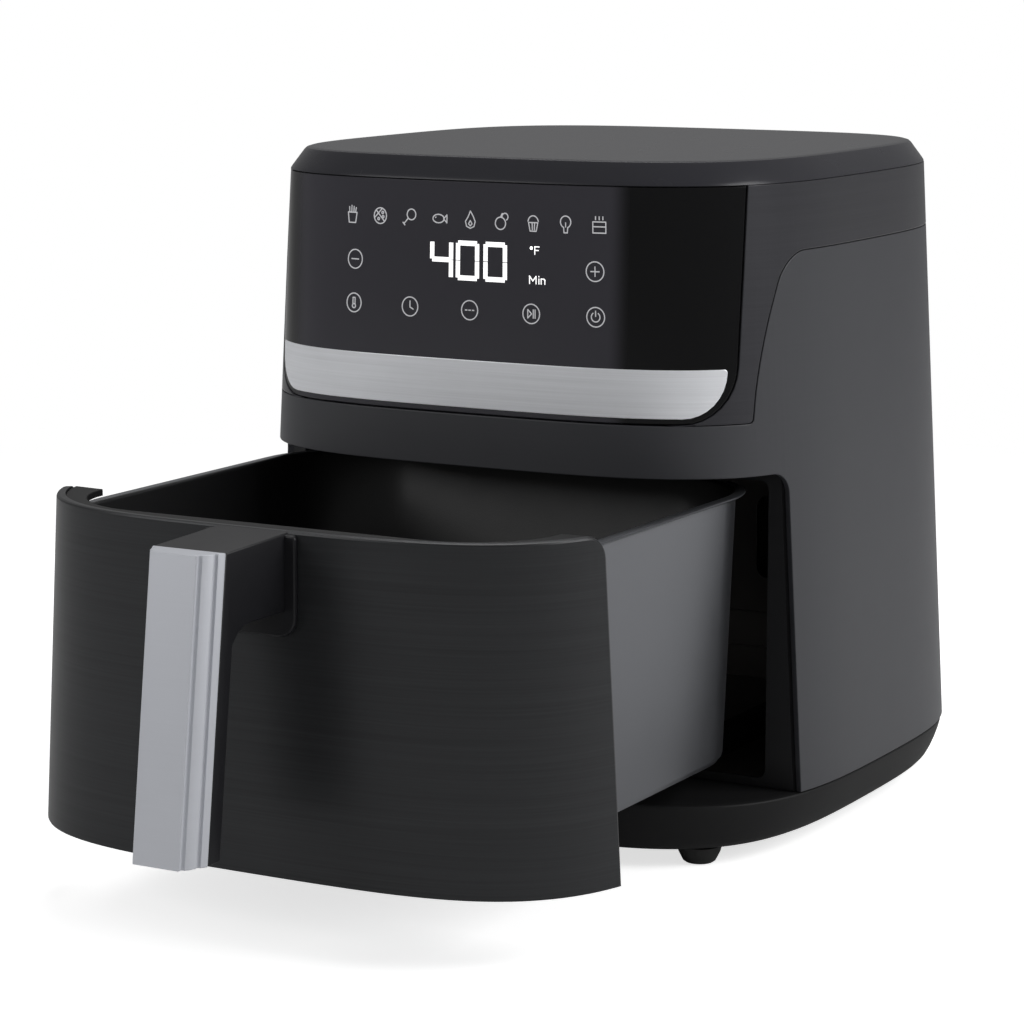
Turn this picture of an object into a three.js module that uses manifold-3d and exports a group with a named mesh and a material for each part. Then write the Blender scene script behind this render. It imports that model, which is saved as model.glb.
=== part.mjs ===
// A basket air fryer: a tall moulded housing on a base pan, a touch panel over a trim band,
// a cooking chamber with a ring heater and fan in its roof, and a pull-out basket drawer.
// Millimetres. X is to the user's right, the user stands on the -Y side, Z is up.
import * as THREE from 'three';
import { mergeVertices } from 'three/addons/utils/BufferGeometryUtils.js';
import Module from 'manifold-3d';

const wasm = await Module();
wasm.setup();

// Housing: a rounded square in plan that narrows evenly from its foot to its shoulder.
const bodyHeight = 300;
const footHeight = 8;
const panHeight = 21;
const footHalfWidth = 140.1;
const footHalfDepth = 136;
const sideDraft = 14.5;
const frontDraft = 5.3;
const cornerPower = 4.2;
const sideBow = 4.4;
const frontBow = 4.1;
const sectionSteps = 48;
const shellWall = 3;
const coverDepth = 39;
const chamferHeight = 10;
const chamferInset = 6.4;
const gap = 0.3;

// Front face, from the shoulder down.
const fasciaHeight = 76;
const bandHeight = 20.6;
const stripHeight = 25.4;
const windowMargin = 27.1;
const windowRadius = 24;
const bandBorder = 2.6;
const bandEndMargin = 3;
const bandThickness = 1.4;
const bandTopRadius = 1.5;
const armSetback = 42;
const armRadius = 17;

// Drawer and the bay it slides into.
const wingDepth = 55.7;
const drawerGap = 0.7;
const cornerRadius = 9;
const frameBorder = 23;
const frameThickness = 3;
const sillHeight = 4;
const lintelHeight = 4.5;
const openTravel = 167;
const skinWall = 3;
const linerWall = 2.5;
const deckDepth = 14;
const chamberDepth = 182;
const sheet = 1.2;
const roofMargin = 12;

// Basket and crisper plate.
const basketWall = 1.5;
const basketLift = 12;
const rimWidth = 4;
const basketDraft = 3.5;
const rearCornerRadius = 45;
const frontCornerRadius = 40;
const rearClearance = 4;
const plateHeight = 14;
const plateThickness = 1.5;
const bumperHeight = 17;
const bumperRadius = 7;
const holePitch = 34;
const holeRadius = 6;

// Handle.
const handleReach = 52.4;
const handleLean = 0.129;
const handleHalfWidth = 16.5;
const capHalfWidth = 10.8;
const capDepth = 10.5;
const handleLength = 117;
const bridgeHeight = 31;
const gripDepth = 8.5;
const flangeHalfWidth = 21;
const flangeHeight = 41;
const flangeThickness = 2.5;

// Heater and fan, hung over the chamber roof.
const domeHeight = 34;
const elementTube = 3.2;
const coilMargin = 11;
const coilSpacing = 15;
const elementDrop = 20;
const fanMargin = 11;
const bladeHeight = 9;
const shaftRadius = 3;
const motorRadius = 28;
const motorHeight = 26;
const coolingFanRadius = 38;

// Levels and reaches that follow from the sizes above.
const panBottom = footHeight;
const shellBottom = panBottom + panHeight;
const shoulder = bodyHeight - chamferHeight;
const seamHeight = bodyHeight - coverDepth;
const fasciaBottom = shoulder - fasciaHeight;
const bandBottom = fasciaBottom - bandHeight;
const windowBottom = bandBottom - bandBorder;
const windowHalfWidth = footHalfWidth - windowMargin;
const bandHalfWidth = windowHalfWidth - bandEndMargin;
const pocketTop = bandBottom - stripHeight;
const drawerTop = pocketTop - drawerGap;
const drawerBottom = shellBottom + 1;
const seatY = -footHalfDepth + wingDepth + gap;
const wingY = seatY - gap * 2;
const openingHalfWidth = footHalfWidth - frameBorder;
const openingBottom = shellBottom + sillHeight;
const openingTop = pocketTop - lintelHeight;
const chamberFront = seatY + frameThickness + gap;
const chamberRear = chamberFront + chamberDepth;
const chamberFloor = shellBottom + 3;
const chamberRoof = openingTop + 1;
const basketBottom = chamberFloor + basketLift;
const basketTop = openingTop - 2.5;
const rimHalfWidth = openingHalfWidth - drawerGap;
const basketHalfWidth = rimHalfWidth - rimWidth;
const linerBackY = -footHalfDepth + deckDepth + skinWall;
const basketFrontY = linerBackY + 2.4;
const basketRearY = chamberRear - rearClearance - rimWidth / 2;
const roofCentreY = (chamberFront + chamberRear) / 2;
const domeRadius = chamberDepth / 2 - roofMargin;
const outerCoilRadius = domeRadius - coilMargin;
const innerCoilRadius = outerCoilRadius - coilSpacing;
const fanRadius = innerCoilRadius - fanMargin;
const domeBase = chamberRoof + sheet + gap;
const domeTop = domeBase + domeHeight;

const X = new THREE.Vector3(1, 0, 0);
const Y = new THREE.Vector3(0, 1, 0);
const Z = new THREE.Vector3(0, 0, 1);
const frontView = new THREE.Matrix4().makeBasis(X, Z, Y.clone().negate());
const sideView = new THREE.Matrix4().makeBasis(Y, Z, X);

const graphite = { color: 0x4c4c50, roughness: 0.5, metalness: 0 };
const brushedDark = { color: 0x2f2f31, roughness: 0.4, metalness: 0.3 };
const glossBlack = { color: 0x18181a, roughness: 0.12, metalness: 0 };
const mattBlack = { color: 0x1c1c1d, roughness: 0.6, metalness: 0 };
const rubberBlack = { color: 0x141414, roughness: 0.8, metalness: 0 };
const brushedSilver = { color: 0xb9bdc4, roughness: 0.35, metalness: 0.9 };
const satinSilver = { color: 0xa3a4ad, roughness: 0.4, metalness: 0.8 };
const coatedSteel = { color: 0x58595c, roughness: 0.45, metalness: 0.4 };
const plainSteel = { color: 0x9a9a98, roughness: 0.35, metalness: 1 };
const boardGreen = { color: 0x1f5a34, roughness: 0.6, metalness: 0 };
const silicone = { color: 0x2a2a2c, roughness: 0.85, metalness: 0 };

// Solid helpers.
function solid(geometry) {
  const bare = geometry.clone();
  for (const name of Object.keys(bare.attributes)) {
    if (name !== 'position') bare.deleteAttribute(name);
  }
  const merged = mergeVertices(bare, 1e-4);
  return new wasm.Manifold(new wasm.Mesh({
    numProp: 3,
    vertProperties: new Float32Array(merged.attributes.position.array),
    triVerts: new Uint32Array(merged.index.array),
  }));
}

function joined(solids) {
  return solids.reduce((whole, piece) => whole.add(piece));
}

function cut(whole, cutters) {
  return cutters.reduce((left, cutter) => left.subtract(cutter), whole);
}

function piece(name, shape, finish) {
  const mesh = shape.getMesh();
  const geometry = new THREE.BufferGeometry();
  geometry.setAttribute('position', new THREE.BufferAttribute(new Float32Array(mesh.vertProperties), 3));
  geometry.setIndex(new THREE.BufferAttribute(new Uint32Array(mesh.triVerts), 1));
  geometry.computeVertexNormals();
  const node = new THREE.Mesh(geometry, new THREE.MeshStandardMaterial(finish));
  node.name = name;
  return node;
}

function box(low, high) {
  const geometry = new THREE.BoxGeometry(high[0] - low[0], high[1] - low[1], high[2] - low[2]);
  geometry.translate((low[0] + high[0]) / 2, (low[1] + high[1]) / 2, (low[2] + high[2]) / 2);
  return solid(geometry);
}

function post(x, y, zLow, zHigh, radius, sides = 20, topRadius = radius) {
  const geometry = new THREE.CylinderGeometry(topRadius, radius, zHigh - zLow, sides);
  geometry.rotateX(Math.PI / 2);
  geometry.translate(x, y, (zLow + zHigh) / 2);
  return solid(geometry);
}

function pinAlongY(x, z, yLow, yHigh, radius, sides = 16) {
  const geometry = new THREE.CylinderGeometry(radius, radius, yHigh - yLow, sides);
  geometry.translate(x, (yLow + yHigh) / 2, z);
  return solid(geometry);
}

function prism(shape, depth, view) {
  const geometry = new THREE.ExtrudeGeometry(shape, { depth, bevelEnabled: false, curveSegments: 6 });
  return view ? geometry.applyMatrix4(view) : geometry;
}

// Drawn in X and Z, running from yBack forward to yFront.
function frontPrism(shape, yFront, yBack) {
  return solid(prism(shape, yBack - yFront, frontView).translate(0, yBack, 0));
}

// Drawn in Y and Z, running from xLow to xHigh.
function sidePrism(shape, xLow, xHigh) {
  return solid(prism(shape, xHigh - xLow, sideView).translate(xLow, 0, 0));
}

// Drawn in X and Y, running from zLow to zHigh.
function flatPrism(shape, zLow, zHigh) {
  return solid(prism(shape, zHigh - zLow).translate(0, 0, zLow));
}

// Corner radii run anticlockwise from the lower left.
function roundedRect(left, bottom, right, top, radii) {
  const [a, b, c, d] = Array.isArray(radii) ? radii : [radii, radii, radii, radii];
  const shape = new THREE.Shape();
  shape.moveTo(left + a, bottom);
  shape.lineTo(right - b, bottom);
  if (b) shape.absarc(right - b, bottom + b, b, -Math.PI / 2, 0, false);
  shape.lineTo(right, top - c);
  if (c) shape.absarc(right - c, top - c, c, 0, Math.PI / 2, false);
  shape.lineTo(left + d, top);
  if (d) shape.absarc(left + d, top - d, d, Math.PI / 2, Math.PI, false);
  shape.lineTo(left, bottom + a);
  if (a) shape.absarc(left + a, bottom + a, a, Math.PI, Math.PI * 1.5, false);
  return shape;
}

// A closed skin through level rings of equally many points, with flat ends.
function loft(rings) {
  const count = rings[0].points.length;
  const positions = rings.flatMap(({ z, points }) => points.flatMap(([x, y]) => [x, y, z]));
  const index = [];
  for (let level = 0; level + 1 < rings.length; level++) {
    for (let i = 0; i < count; i++) {
      const low = level * count + i;
      const next = level * count + ((i + 1) % count);
      index.push(low, next, next + count, low, next + count, low + count);
    }
  }
  const top = (rings.length - 1) * count;
  for (let i = 1; i + 1 < count; i++) {
    index.push(0, i + 1, i, top, top + i, top + i + 1);
  }
  const geometry = new THREE.BufferGeometry();
  geometry.setAttribute('position', new THREE.Float32BufferAttribute(positions, 3));
  geometry.setIndex(index);
  return solid(geometry);
}

// The housing's plan: a square with strongly rounded corners whose four sides bow outward.
function bowedSquare(halfWidth, halfDepth) {
  const soften = (value) => Math.sign(value) * Math.abs(value) ** (2 / cornerPower);
  return Array.from({ length: sectionSteps }, (_, i) => {
    const angle = (2 * Math.PI * i) / sectionSteps;
    const u = soften(Math.cos(angle));
    const v = soften(Math.sin(angle));
    return [u * (halfWidth - sideBow * v * v), v * (halfDepth - frontBow * u * u)];
  });
}

const rise = (z) => (z - shellBottom) / (shoulder - shellBottom);
const halfWidthAt = (z) => footHalfWidth - sideDraft * rise(z);
const halfDepthAt = (z) => footHalfDepth - frontDraft * rise(z);

function bodyRing(z, inset) {
  return { z, points: bowedSquare(halfWidthAt(z) - inset, halfDepthAt(z) - inset) };
}

function bodyBlock(zLow, zHigh, inset = 0) {
  return loft([bodyRing(zLow, inset), bodyRing(zHigh, inset)]);
}

function bodySkin(zLow, zHigh, outerInset, innerInset) {
  return bodyBlock(zLow, zHigh, outerInset).subtract(bodyBlock(zLow - 1, zHigh + 1, innerInset));
}

// How far the section reaches back from the middle at x; by symmetry it reaches as far forward.
function rearYAt(x, z, inset = 0) {
  const rear = bodyRing(z, inset).points.filter(([, y]) => y > 0);
  const next = rear.findIndex((point) => point[0] <= x);
  const [[x1, y1], [x2, y2]] = [rear[next - 1], rear[next]];
  return y1 + ((y2 - y1) * (x1 - x)) / (x1 - x2);
}

const far = footHalfWidth + footHalfDepth;

// The window in the front that the fascia fills.
function windowPrism(clearance) {
  const radius = windowRadius - clearance;
  const half = windowHalfWidth - clearance;
  const corners = [radius, radius, 0, 0];
  const outline = roundedRect(-half, windowBottom + clearance, half, shoulder - clearance, corners);
  return frontPrism(outline, -far, -footHalfDepth / 2);
}

// The recess in the fascia that the trim band is set into.
function bandPrism(clearance) {
  const radius = bandHeight - bandTopRadius + clearance;
  const half = bandHalfWidth + clearance;
  const corners = [radius, radius, bandTopRadius, bandTopRadius];
  const outline = roundedRect(-half, bandBottom - clearance, half, fasciaBottom + clearance, corners);
  return frontPrism(outline, -far, -footHalfDepth / 2);
}

// Side view of the pocket that the drawer front fills; the clearance grows it.
function pocketPrism(clearance) {
  const top = drawerTop + clearance;
  const rear = wingY + clearance;
  const corners = [0, 0, cornerRadius + clearance, 0];
  return sidePrism(roundedRect(-far, -far, rear, top, corners), -far, far);
}

// The front corners of the top cover run down beside the window as two narrow arms.
function armPrism(clearance) {
  const seam = -footHalfDepth + armSetback + clearance;
  const low = windowBottom - clearance;
  const bendX = seam + armRadius + 1;
  const bendZ = seamHeight - armRadius - 1;
  const shape = new THREE.Shape();
  shape.moveTo(-far, low);
  shape.lineTo(seam - 4, low);
  shape.lineTo(seam, fasciaBottom + 6);
  shape.lineTo(seam + 1, bendZ);
  shape.absarc(bendX, bendZ, armRadius - clearance, Math.PI, Math.PI / 2, true);
  shape.lineTo(bendX, seamHeight + 5);
  shape.lineTo(-far, seamHeight + 5);
  const sides = [-1, 1].map((side) => {
    const edge = side * (windowHalfWidth - windowRadius - clearance);
    return sidePrism(shape, Math.min(edge, side * far), Math.max(edge, side * far));
  });
  return joined(sides);
}

// Housing.
const bossRadius = 4;
const pilotRadius = 2.4;
const webHalf = 1.5;
const screwPlaces = [-1, 1].flatMap((side) => [
  { side, end: 'front', x: side * (openingHalfWidth + sheet + 0.6 + bossRadius), y: chamberFront + 14 },
  { side, end: 'rear', x: side * 88, y: chamberRear + sheet + 6 + bossRadius },
]);
const ventHalfWidth = 50;
const ventSlots = 7;
const ventSlotHalf = 1.8;
const ventLow = domeBase + 20;
const ventHigh = ventLow + 60;
const glandX = 80;
const glandZ = shellBottom + 26;
const glandRadius = 6;
const glandBore = 3.4;
const glandReach = 4.5;
const bossTop = shellBottom + 24;
const boardStandoff = 10;
const boardX = -(halfWidthAt(seamHeight) - shellWall - boardStandoff);
const powerBoardLow = domeBase + 16;
const powerBoardHigh = powerBoardLow + 56;
const powerBoardY = [-28, 44];
const boardSheet = 1.6;
const relayY = [-24, -4];

function makeOuterShell() {
  const low = shellBottom + gap;
  const walls = bodySkin(low, seamHeight, 0, shellWall);
  const bosses = screwPlaces.map(({ x, y }) => post(x, y, low, bossTop, bossRadius, 14));
  const webs = screwPlaces.map(({ side, end, x, y }) => (end === 'front'
    ? box([Math.min(x, side * far), y - webHalf, low], [Math.max(x, side * far), y + webHalf, bossTop])
    : box([x - webHalf, y, low], [x + webHalf, far, bossTop])));
  const inner = bodyBlock(low, seamHeight, shellWall - 1);
  const boundedWebs = webs.map((web) => web.intersect(inner));
  const boardPosts = powerBoardY.map((y, i) => {
    const z = i ? powerBoardLow + 8 : powerBoardHigh - 8;
    const inward = y + (i ? -8 : 8);
    const reach = halfWidthAt(z) - shellWall + 1;
    return box([-reach, inward - 3, z - 3], [boardX - gap - boardSheet, inward + 3, z + 3]);
  });
  const cutters = [
    armPrism(gap), windowPrism(0), pocketPrism(drawerGap),
    frontPrism(roundedRect(-ventHalfWidth, ventLow, ventHalfWidth, ventHigh, 8), footHalfDepth / 2, far),
    pinAlongY(glandX, glandZ, footHalfDepth / 2, far, glandRadius + gap),
    ...screwPlaces.map(({ x, y }) => post(x, y, shellBottom, bossTop - 4, pilotRadius, 10)),
  ];
  const moulding = joined([walls, ...bosses, ...boundedWebs, ...boardPosts]);
  return piece('outer_shell', cut(moulding, cutters), graphite);
}

function makeTopCover() {
  const topRing = (inset, z) => ({
    z, points: bowedSquare(halfWidthAt(shoulder) - inset, halfDepthAt(shoulder) - inset),
  });
  const outside = loft([
    bodyRing(seamHeight + gap, 0), bodyRing(shoulder, 0), topRing(chamferInset, bodyHeight),
  ]);
  const inside = loft([
    bodyRing(seamHeight - 1, shellWall), bodyRing(shoulder, shellWall),
    topRing(chamferInset + shellWall, bodyHeight - shellWall),
  ]);
  const arms = bodySkin(windowBottom, seamHeight + 1, 0, shellWall).intersect(armPrism(0));
  const shape = cut(joined([outside.subtract(inside), arms]), [windowPrism(0)]);
  return piece('top_cover', shape, glossBlack);
}

const fasciaInset = 0.2;
const carrierThickness = 2.3;
const carrierInset = shellWall + gap;
const boardFrontY = -(halfDepthAt(fasciaBottom) - frontBow - carrierInset - carrierThickness - 4);
const displayHalfWidth = 72;
const displayLow = fasciaBottom + 8;
const displayHigh = shoulder - 10;

function makeFascia() {
  const plate = bodySkin(windowBottom - 5, shoulder, fasciaInset, shellWall).intersect(windowPrism(gap));
  const recess = bodySkin(windowBottom - 5, shoulder, -1, bandThickness + gap).intersect(bandPrism(gap));
  return piece('control_fascia', plate.subtract(recess), glossBlack);
}

function makeTrimBand() {
  const skin = bodySkin(bandBottom - 5, fasciaBottom + 5, 0, bandThickness);
  return piece('trim_band', skin.intersect(bandPrism(0)), brushedSilver);
}

function makeFasciaCarrier() {
  const low = windowBottom - 5;
  const high = shoulder - 4;
  const reach = windowHalfWidth + 5;
  const skin = bodySkin(low, high, carrierInset, carrierInset + carrierThickness);
  const panel = skin.intersect(box([-reach, -far, low - 1], [reach, -footHalfDepth * 0.6, high + 1]));
  const corners = [-1, 1].flatMap((side) => [displayLow + 4, displayHigh - 4].map((z) => [side, z]));
  const posts = corners.map(([side, z]) => {
    const x = side * (displayHalfWidth - 6);
    return pinAlongY(x, z, -rearYAt(x, z, carrierInset + carrierThickness / 2), boardFrontY - gap, 3, 10);
  });
  return piece('fascia_carrier', joined([panel, ...posts]), mattBlack);
}

function makeControlBoard() {
  const low = [-displayHalfWidth, boardFrontY, displayLow];
  const board = box(low, [displayHalfWidth, boardFrontY + boardSheet, displayHigh]);
  return piece('control_board', board, boardGreen);
}

function makePowerBoard() {
  const [front, rear] = powerBoardY;
  const board = box([boardX - boardSheet, front, powerBoardLow], [boardX, rear, powerBoardHigh]);
  const relayLow = [boardX - 0.5, relayY[0], powerBoardLow + 10];
  const relay = box(relayLow, [boardX + 12, relayY[1], powerBoardLow + 26]);
  return piece('power_board', board.add(relay), boardGreen);
}

function makeRearVent() {
  const hole = roundedRect(-ventHalfWidth + gap, ventLow + gap, ventHalfWidth - gap, ventHigh - gap, 8 - gap);
  const skin = bodySkin(ventLow - 5, ventHigh + 5, fasciaInset, shellWall);
  const panel = skin.intersect(frontPrism(hole, footHalfDepth / 2, far));
  const half = ventHalfWidth - 8;
  const pitch = (ventHigh - ventLow - 8) / ventSlots;
  const slots = Array.from({ length: ventSlots }, (_, i) => {
    const z = ventLow + 4 + pitch * (i + 0.5);
    return box([-half, footHalfDepth / 2, z - ventSlotHalf], [half, far, z + ventSlotHalf]);
  });
  return piece('rear_vent', cut(panel, slots), mattBlack);
}

function makeCordGland() {
  const face = rearYAt(glandX, glandZ);
  const flange = pinAlongY(glandX, glandZ, face - 4, face + glandReach, glandRadius + 3, 20)
    .subtract(bodyBlock(shellBottom, shoulder, -gap));
  const body = flange.add(pinAlongY(glandX, glandZ, face - 8, face + glandReach, glandRadius, 20));
  const bore = pinAlongY(glandX, glandZ, face - 9, face + glandReach + 1, glandBore);
  return piece('cord_gland', body.subtract(bore), rubberBlack);
}

// Base pan: a tray whose front is decked over, standing on four rubber feet.
const panTopInset = 0.4;
const panBottomHalfWidth = footHalfWidth - 9.6;
const panBottomHalfDepth = footHalfDepth - 1.6;
const panWall = 2.5;
const panSlots = 9;
const panSlotPitch = 12;
const deckBack = seatY + frameThickness + 3;
const footRadius = 10;
const footX = footHalfWidth - 42;
const footY = [-footHalfDepth + 31, footHalfDepth - 36];
const postSpots = [-1, 1].flatMap((side) => [-30, 70].map((y) => [side * (openingHalfWidth - 22), y]));

function panBlock(zLow, zHigh, inset) {
  const share = (z) => (z - panBottom) / panHeight;
  const ring = (z) => ({
    z,
    points: bowedSquare(
      panBottomHalfWidth + (footHalfWidth - panTopInset - panBottomHalfWidth) * share(z) - inset,
      panBottomHalfDepth + (footHalfDepth - panTopInset - panBottomHalfDepth) * share(z) - inset),
  });
  return loft([ring(zLow), ring(zHigh)]);
}

function makeBasePan() {
  const deckUnderside = shellBottom - panWall;
  const behindDeck = box([-far, deckBack, deckUnderside - 1], [far, far, shellBottom + 1]);
  const tray = cut(panBlock(panBottom, shellBottom, 0), [
    panBlock(panBottom + panWall, deckUnderside, panWall),
    panBlock(deckUnderside - 1, shellBottom + 1, panWall).intersect(behindDeck),
  ]);
  const floor = panBottom + panWall - 0.5;
  const posts = postSpots.map(([x, y]) => post(x, y, floor, chamberFloor - sheet - gap, 6, 14));
  const columns = screwPlaces.map(({ x, y }) => post(x, y, floor, shellBottom, bossRadius, 14));
  const slots = Array.from({ length: panSlots }, (_, i) => {
    const x = (i - (panSlots - 1) / 2) * panSlotPitch;
    return box([x - 2, -20, panBottom - 1], [x + 2, 40, panBottom + panWall + 1]);
  });
  const screwHoles = screwPlaces.flatMap(({ x, y }) => [
    post(x, y, panBottom - 1, shellBottom + 1, pilotRadius, 10),
    post(x, y, panBottom - 1, panBottom + 2.6, pilotRadius + 1, 10),
  ]);
  return piece('base_pan', cut(joined([tray, ...posts, ...columns]), [...slots, ...screwHoles]), mattBlack);
}

function makeFeet() {
  return [-1, 1].flatMap((side) => footY.map((y) => {
    const name = `foot_${y < 0 ? 'front' : 'rear'}_${side < 0 ? 'left' : 'right'}`;
    const top = footHeight - gap;
    const profile = [[0, 0], [footRadius - 1, 0], [footRadius, 1.5], [footRadius, top], [0, top]];
    const geometry = new THREE.LatheGeometry(profile.map(([r, z]) => new THREE.Vector2(r, z)), 18);
    const foot = piece(name, solid(geometry.rotateX(Math.PI / 2)), rubberBlack);
    foot.position.set(side * footX, y, 0);
    return foot;
  }));
}

function screw(name, headRadius, headHeight, shankRadius, length) {
  const profile = [
    [0, 0], [headRadius, 0], [headRadius, headHeight], [shankRadius, headHeight],
    [shankRadius, length - 1], [shankRadius - 1, length], [0, length],
  ];
  const geometry = new THREE.LatheGeometry(profile.map(([r, z]) => new THREE.Vector2(r, z)), 10);
  return piece(name, solid(geometry.rotateX(Math.PI / 2)), plainSteel);
}

function makeHousingScrews() {
  return screwPlaces.map(({ side, end, x, y }) => {
    const item = screw(`housing_screw_${end}_${side < 0 ? 'left' : 'right'}`, 3, 1.8, 2, 34);
    item.position.set(x, y, panBottom + 0.5);
    return item;
  });
}

// Bay frame: the ledge that the drawer front closes against, and the pocket's ceiling.
const switchHalfWidth = 3.8;
const switchX = -(openingHalfWidth + sheet + gap + switchHalfWidth);
const switchZ = (openingBottom + openingTop) / 2;
const plungerRadius = 1.6;
const plungerReach = 2.2;
const openingRadius = 4;

function makeBayFrame() {
  const inset = shellWall + gap;
  const ceilingTop = pocketTop + frameThickness;
  const block = bodyBlock(shellBottom + gap, ceilingTop, inset);
  const plate = block.intersect(box([-far, seatY, 0], [far, seatY + frameThickness, bodyHeight]));
  const ceiling = block.intersect(box([-far, -far, pocketTop], [far, seatY + frameThickness, ceilingTop]));
  const opening = roundedRect(-openingHalfWidth, openingBottom, openingHalfWidth, openingTop, openingRadius);
  const shape = cut(plate.add(ceiling), [
    frontPrism(opening, seatY - 10, seatY + 10),
    pinAlongY(switchX, switchZ, seatY - 10, seatY + 10, plungerRadius + gap),
  ]);
  return piece('bay_frame', shape, mattBlack);
}

function makeDrawerSwitch() {
  const front = seatY + frameThickness + gap;
  const low = [switchX - switchHalfWidth, front, switchZ - 9];
  const body = box(low, [switchX + switchHalfWidth, front + 16, switchZ + 9]);
  const bore = pinAlongY(switchX, switchZ, front - 1, front + 10, plungerRadius + gap);
  return piece('drawer_switch', body.subtract(bore), mattBlack);
}

function makePlunger() {
  const tip = seatY - plungerReach;
  return piece('switch_plunger', pinAlongY(switchX, switchZ, tip, tip + 12, plungerRadius, 12), silicone);
}

// Cooking chamber: a sheet steel box, open at the front, with a round hole in its roof.
const exhaustInner = 26;
const exhaustOuter = 78;
const exhaustLow = chamberFloor + 50;
const exhaustHigh = exhaustLow + 41;
const ribLevels = [14.5, 32];
const ribHalf = openingHalfWidth - 32;
const chamberCorner = 30;

function makeChamber() {
  const half = openingHalfWidth;
  const outerReach = half + sheet;
  const inner = chamberCorner - sheet;
  const outside = roundedRect(
    -outerReach, chamberFront, outerReach, chamberRear + sheet, [0, 0, chamberCorner, chamberCorner]);
  const inside = roundedRect(-half, chamberFront - 1, half, chamberRear, [0, 0, inner, inner]);
  const ribs = ribLevels.map((level) => {
    const z = chamberFloor + level;
    return box([-ribHalf, chamberRear - 1.5, z - 1], [ribHalf, chamberRear + 0.5, z + 1]);
  });
  const exhausts = [-1, 1].map((side) => {
    const ends = [side * exhaustInner, side * exhaustOuter].sort((a, b) => a - b);
    const outline = roundedRect(ends[0], exhaustLow, ends[1], exhaustHigh, 6);
    return frontPrism(outline, chamberRear - 5, chamberRear + 5);
  });
  const tub = cut(flatPrism(outside, chamberFloor - sheet, chamberRoof + sheet), [
    flatPrism(inside, chamberFloor, chamberRoof),
    post(0, roofCentreY, chamberRoof - 1, chamberRoof + 5, domeRadius - sheet, 36),
  ]);
  return piece('cooking_chamber', cut(joined([tub, ...ribs]), exhausts), coatedSteel);
}

function makeRails() {
  return [-1, 1].map((side) => {
    const x = side * (basketHalfWidth - 34);
    const low = [x - 4, chamberFront + 1, chamberFloor + gap];
    const rail = box(low, [x + 4, chamberRear - 12, basketBottom - gap]);
    return piece(`slide_rail_${side < 0 ? 'left' : 'right'}`, rail, mattBlack);
  });
}

// Heater dome, coil, clips and sensors.
const terminalX = 12;
const elementZ = domeTop - elementDrop;
const terminalTop = domeTop + 12;
const clipAngles = [Math.PI / 6, Math.PI * 5 / 6, Math.PI * 1.5];
const sensorSpot = [-domeRadius * 0.886, domeRadius * 0.323];
const cutoutSpot = [domeRadius * 0.608, domeRadius * 0.43];

function makeDome() {
  const r = domeRadius;
  const profile = [
    [r - sheet, domeBase], [r + 9, domeBase], [r + 9, domeBase + sheet], [r, domeBase + sheet],
    [r, domeTop], [shaftRadius + 4, domeTop], [shaftRadius + 4, domeTop - sheet],
    [r - sheet, domeTop - sheet], [r - sheet, domeBase],
  ];
  const geometry = new THREE.LatheGeometry(profile.map(([radius, z]) => new THREE.Vector2(radius, z)), 36);
  const dish = solid(geometry.rotateX(Math.PI / 2));
  const holes = [-1, 1].map((side) =>
    post(side * terminalX, terminalY(side), domeTop - 5, domeTop + 5, elementTube + 1.4, 12));
  holes.push(post(sensorSpot[0], sensorSpot[1], domeTop - 5, domeTop + 5, 2.4, 12));
  const dome = piece('heater_dome', cut(dish, holes), plainSteel);
  dome.position.y = roofCentreY;
  return dome;
}

function terminalY(side) {
  const radius = side > 0 ? outerCoilRadius : innerCoilRadius;
  return Math.sqrt(radius * radius - terminalX * terminalX);
}

function sectionCircle(radius, sides) {
  const shape = new THREE.Shape();
  for (let i = 0; i < sides; i++) {
    const angle = (2 * Math.PI * i) / sides;
    const place = [radius * Math.cos(angle), radius * Math.sin(angle)];
    if (i) shape.lineTo(...place);
    else shape.moveTo(...place);
  }
  return shape;
}

// One tube: down from a terminal, round the outer turn, round the inner turn, up the other terminal.
function elementPath() {
  const start = Math.atan2(terminalY(1), terminalX);
  const end = Math.atan2(terminalY(-1), -terminalX) - 4 * Math.PI;
  const bend = 8;
  const points = [
    new THREE.Vector3(terminalX, terminalY(1), terminalTop),
    new THREE.Vector3(terminalX, terminalY(1), elementZ + bend),
  ];
  const turns = 44;
  for (let i = 1; i < turns; i++) {
    const share = i / turns;
    const angle = start + (end - start) * share;
    const shift = THREE.MathUtils.smoothstep(share, 0.42, 0.58);
    const radius = outerCoilRadius + (innerCoilRadius - outerCoilRadius) * shift;
    points.push(new THREE.Vector3(radius * Math.cos(angle), radius * Math.sin(angle), elementZ));
  }
  points.push(new THREE.Vector3(-terminalX, terminalY(-1), elementZ + bend));
  points.push(new THREE.Vector3(-terminalX, terminalY(-1), terminalTop));
  return new THREE.CatmullRomCurve3(points, false, 'centripetal');
}

function makeElement() {
  const options = { steps: 76, extrudePath: elementPath(), bevelEnabled: false };
  const geometry = new THREE.ExtrudeGeometry(sectionCircle(elementTube, 6), options);
  const element = piece('heating_element', solid(geometry), plainSteel);
  element.position.y = roofCentreY;
  return element;
}

function makeElementClips() {
  const inner = innerCoilRadius - elementTube - 3;
  const outer = outerCoilRadius + elementTube + 3;
  return clipAngles.map((angle, i) => {
    const tab = box([inner, -0.8, elementZ - 6], [outer, 0.8, domeTop - sheet - gap]);
    const holes = [innerCoilRadius, outerCoilRadius].map((radius) =>
      pinAlongY(radius, elementZ, -5, 5, elementTube + 0.6, 16));
    const clip = piece(`element_clip_${i + 1}`, cut(tab, holes), plainSteel);
    clip.position.y = roofCentreY;
    clip.rotation.z = angle;
    return clip;
  });
}

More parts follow.
